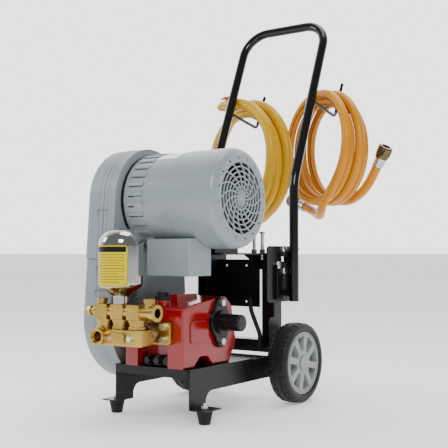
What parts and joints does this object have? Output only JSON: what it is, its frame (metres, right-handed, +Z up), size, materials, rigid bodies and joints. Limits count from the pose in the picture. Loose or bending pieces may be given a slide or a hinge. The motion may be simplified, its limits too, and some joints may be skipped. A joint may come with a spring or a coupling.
{
  "type": "wheeled sprayer cart",
  "caption": "Two-wheeled steel cart carrying a belt-driven plunger spray pump, its electric motor, a belt cover, a push handle and two coiled spray hoses.",
  "frame": {"origin": "on the floor under the middle of the cart, measured without the hoses", "axes": "+Z up, +Y from the front feet towards the handle, +X from the belt cover towards the motor fan end"},
  "size_m": [0.5909, 0.7853, 0.927],
  "materials": {
    "black_paint": "satin",
    "black_gloss_tube": "gloss",
    "grey_cover": "satin",
    "grey_motor": "satin",
    "wheel_plastic": "matte",
    "tyre_rubber": "matte",
    "foot_rubber": "matte",
    "zinc_steel": "zinc plated",
    "iron": "machined",
    "black_plastic": "satin",
    "pump_red": "deep gloss",
    "brass": "satin",
    "bronze": "dark patina",
    "polished_steel": "polished",
    "hose_orange": "satin",
    "hose_yellow": "satin",
    "lever_red": "gloss"
  },
  "bodies": {
    "root": {"air_chamber": "polished_steel", "axle": "zinc_steel", "axle_caps": "wheel_plastic", "axle_spacers": "zinc_steel", "ball_valve": "brass", "base_plate": "black_paint", "bearing_flange": "black_paint", "belt_cover_inner": "grey_cover", "belt_cover_outer": "grey_cover", "chassis_bolts": "zinc_steel", "cover_screws": "zinc_steel", "crankcase": "pump_red", "discharge_manifold": "brass", "drive_belts": "foot_rubber", "fan_cowl": "grey_motor", "grease_cups": "black_plastic", "handle_bolts": "zinc_steel", "handle_brackets": "black_paint", "handle_tube": "black_gloss_tube", "head_flange": "brass", "hose_coil_left": "hose_yellow", "hose_coil_right": "hose_orange", "hose_entry_right": "hose_orange", "hose_ferrules": "zinc_steel", "hose_hooks": "black_gloss_tube", "hose_tail_left": "hose_yellow", "hose_tail_right": "hose_orange", "motor_bearings": "zinc_steel", "motor_end_shield": "grey_motor", "motor_lead": "black_plastic", "motor_platform": "black_paint", "motor_shell": "grey_motor", "outlet_plugs": "brass", "platform_struts": "black_paint", "plunger_cylinders": "zinc_steel", "posts": "black_paint", "pump_head_bolts": "zinc_steel", "rear_cross_beam": "black_paint", "rear_panel": "black_paint", "rubber_feet": "foot_rubber", "side_plate_left": "black_paint", "side_plate_right": "black_paint", "stator_core": "iron", "suction_manifold": "brass", "tension_bolts": "zinc_steel", "terminal_box": "grey_cover", "union_nuts": "bronze", "valve_chimneys": "brass"},
    "wheel_right": {"wheel_hub_right": "wheel_plastic", "tyre_right": "tyre_rubber"},
    "wheel_left": {"wheel_hub_left": "wheel_plastic", "tyre_left": "tyre_rubber"},
    "motor_rotor": {"rotor": "zinc_steel", "cooling_fan": "black_plastic", "motor_pulley": "iron"},
    "pump_crank": {"crankshaft": "zinc_steel", "crank_pulley": "iron"},
    "oil_filler_cap": {"oil_cap": "black_plastic"},
    "valve_handle": {"valve_lever": "lever_red"}
  },
  "joints": [
    {"name": "wheel_right_spin", "type": "hinge", "parent": "root", "child": "wheel_right", "pos_m": [0.149, 0.07519, 0.09], "axis": [1, 0, 0], "continuous": true},
    {"name": "wheel_left_spin", "type": "hinge", "parent": "root", "child": "wheel_left", "pos_m": [-0.133, 0.07519, 0.09], "axis": [1, 0, 0], "continuous": true},
    {"name": "crank_spin", "type": "hinge", "parent": "root", "child": "pump_crank", "pos_m": [0.008, -0.15281, 0.194], "axis": [1, 0, 0], "continuous": true},
    {"name": "motor_spin", "type": "hinge", "parent": "root", "child": "motor_rotor", "pos_m": [0.008, -0.15281, 0.451], "axis": [1, 0, 0], "continuous": true},
    {"name": "oil_cap_turn", "type": "hinge", "parent": "root", "child": "oil_filler_cap", "pos_m": [0.018, -0.24281, 0.241], "axis": [0, 0, 1], "range_deg": [0, 360]},
    {"name": "valve_lever_turn", "type": "hinge", "parent": "root", "child": "valve_handle", "pos_m": [-0.15762, 0.24525, 0.7486], "axis": [0, 0, 1], "range_deg": [0, 90]}
  ],
  "couplings": [
    {"joint": "motor_spin", "follows": "crank_spin", "ratio": 1.8929}
  ]
}
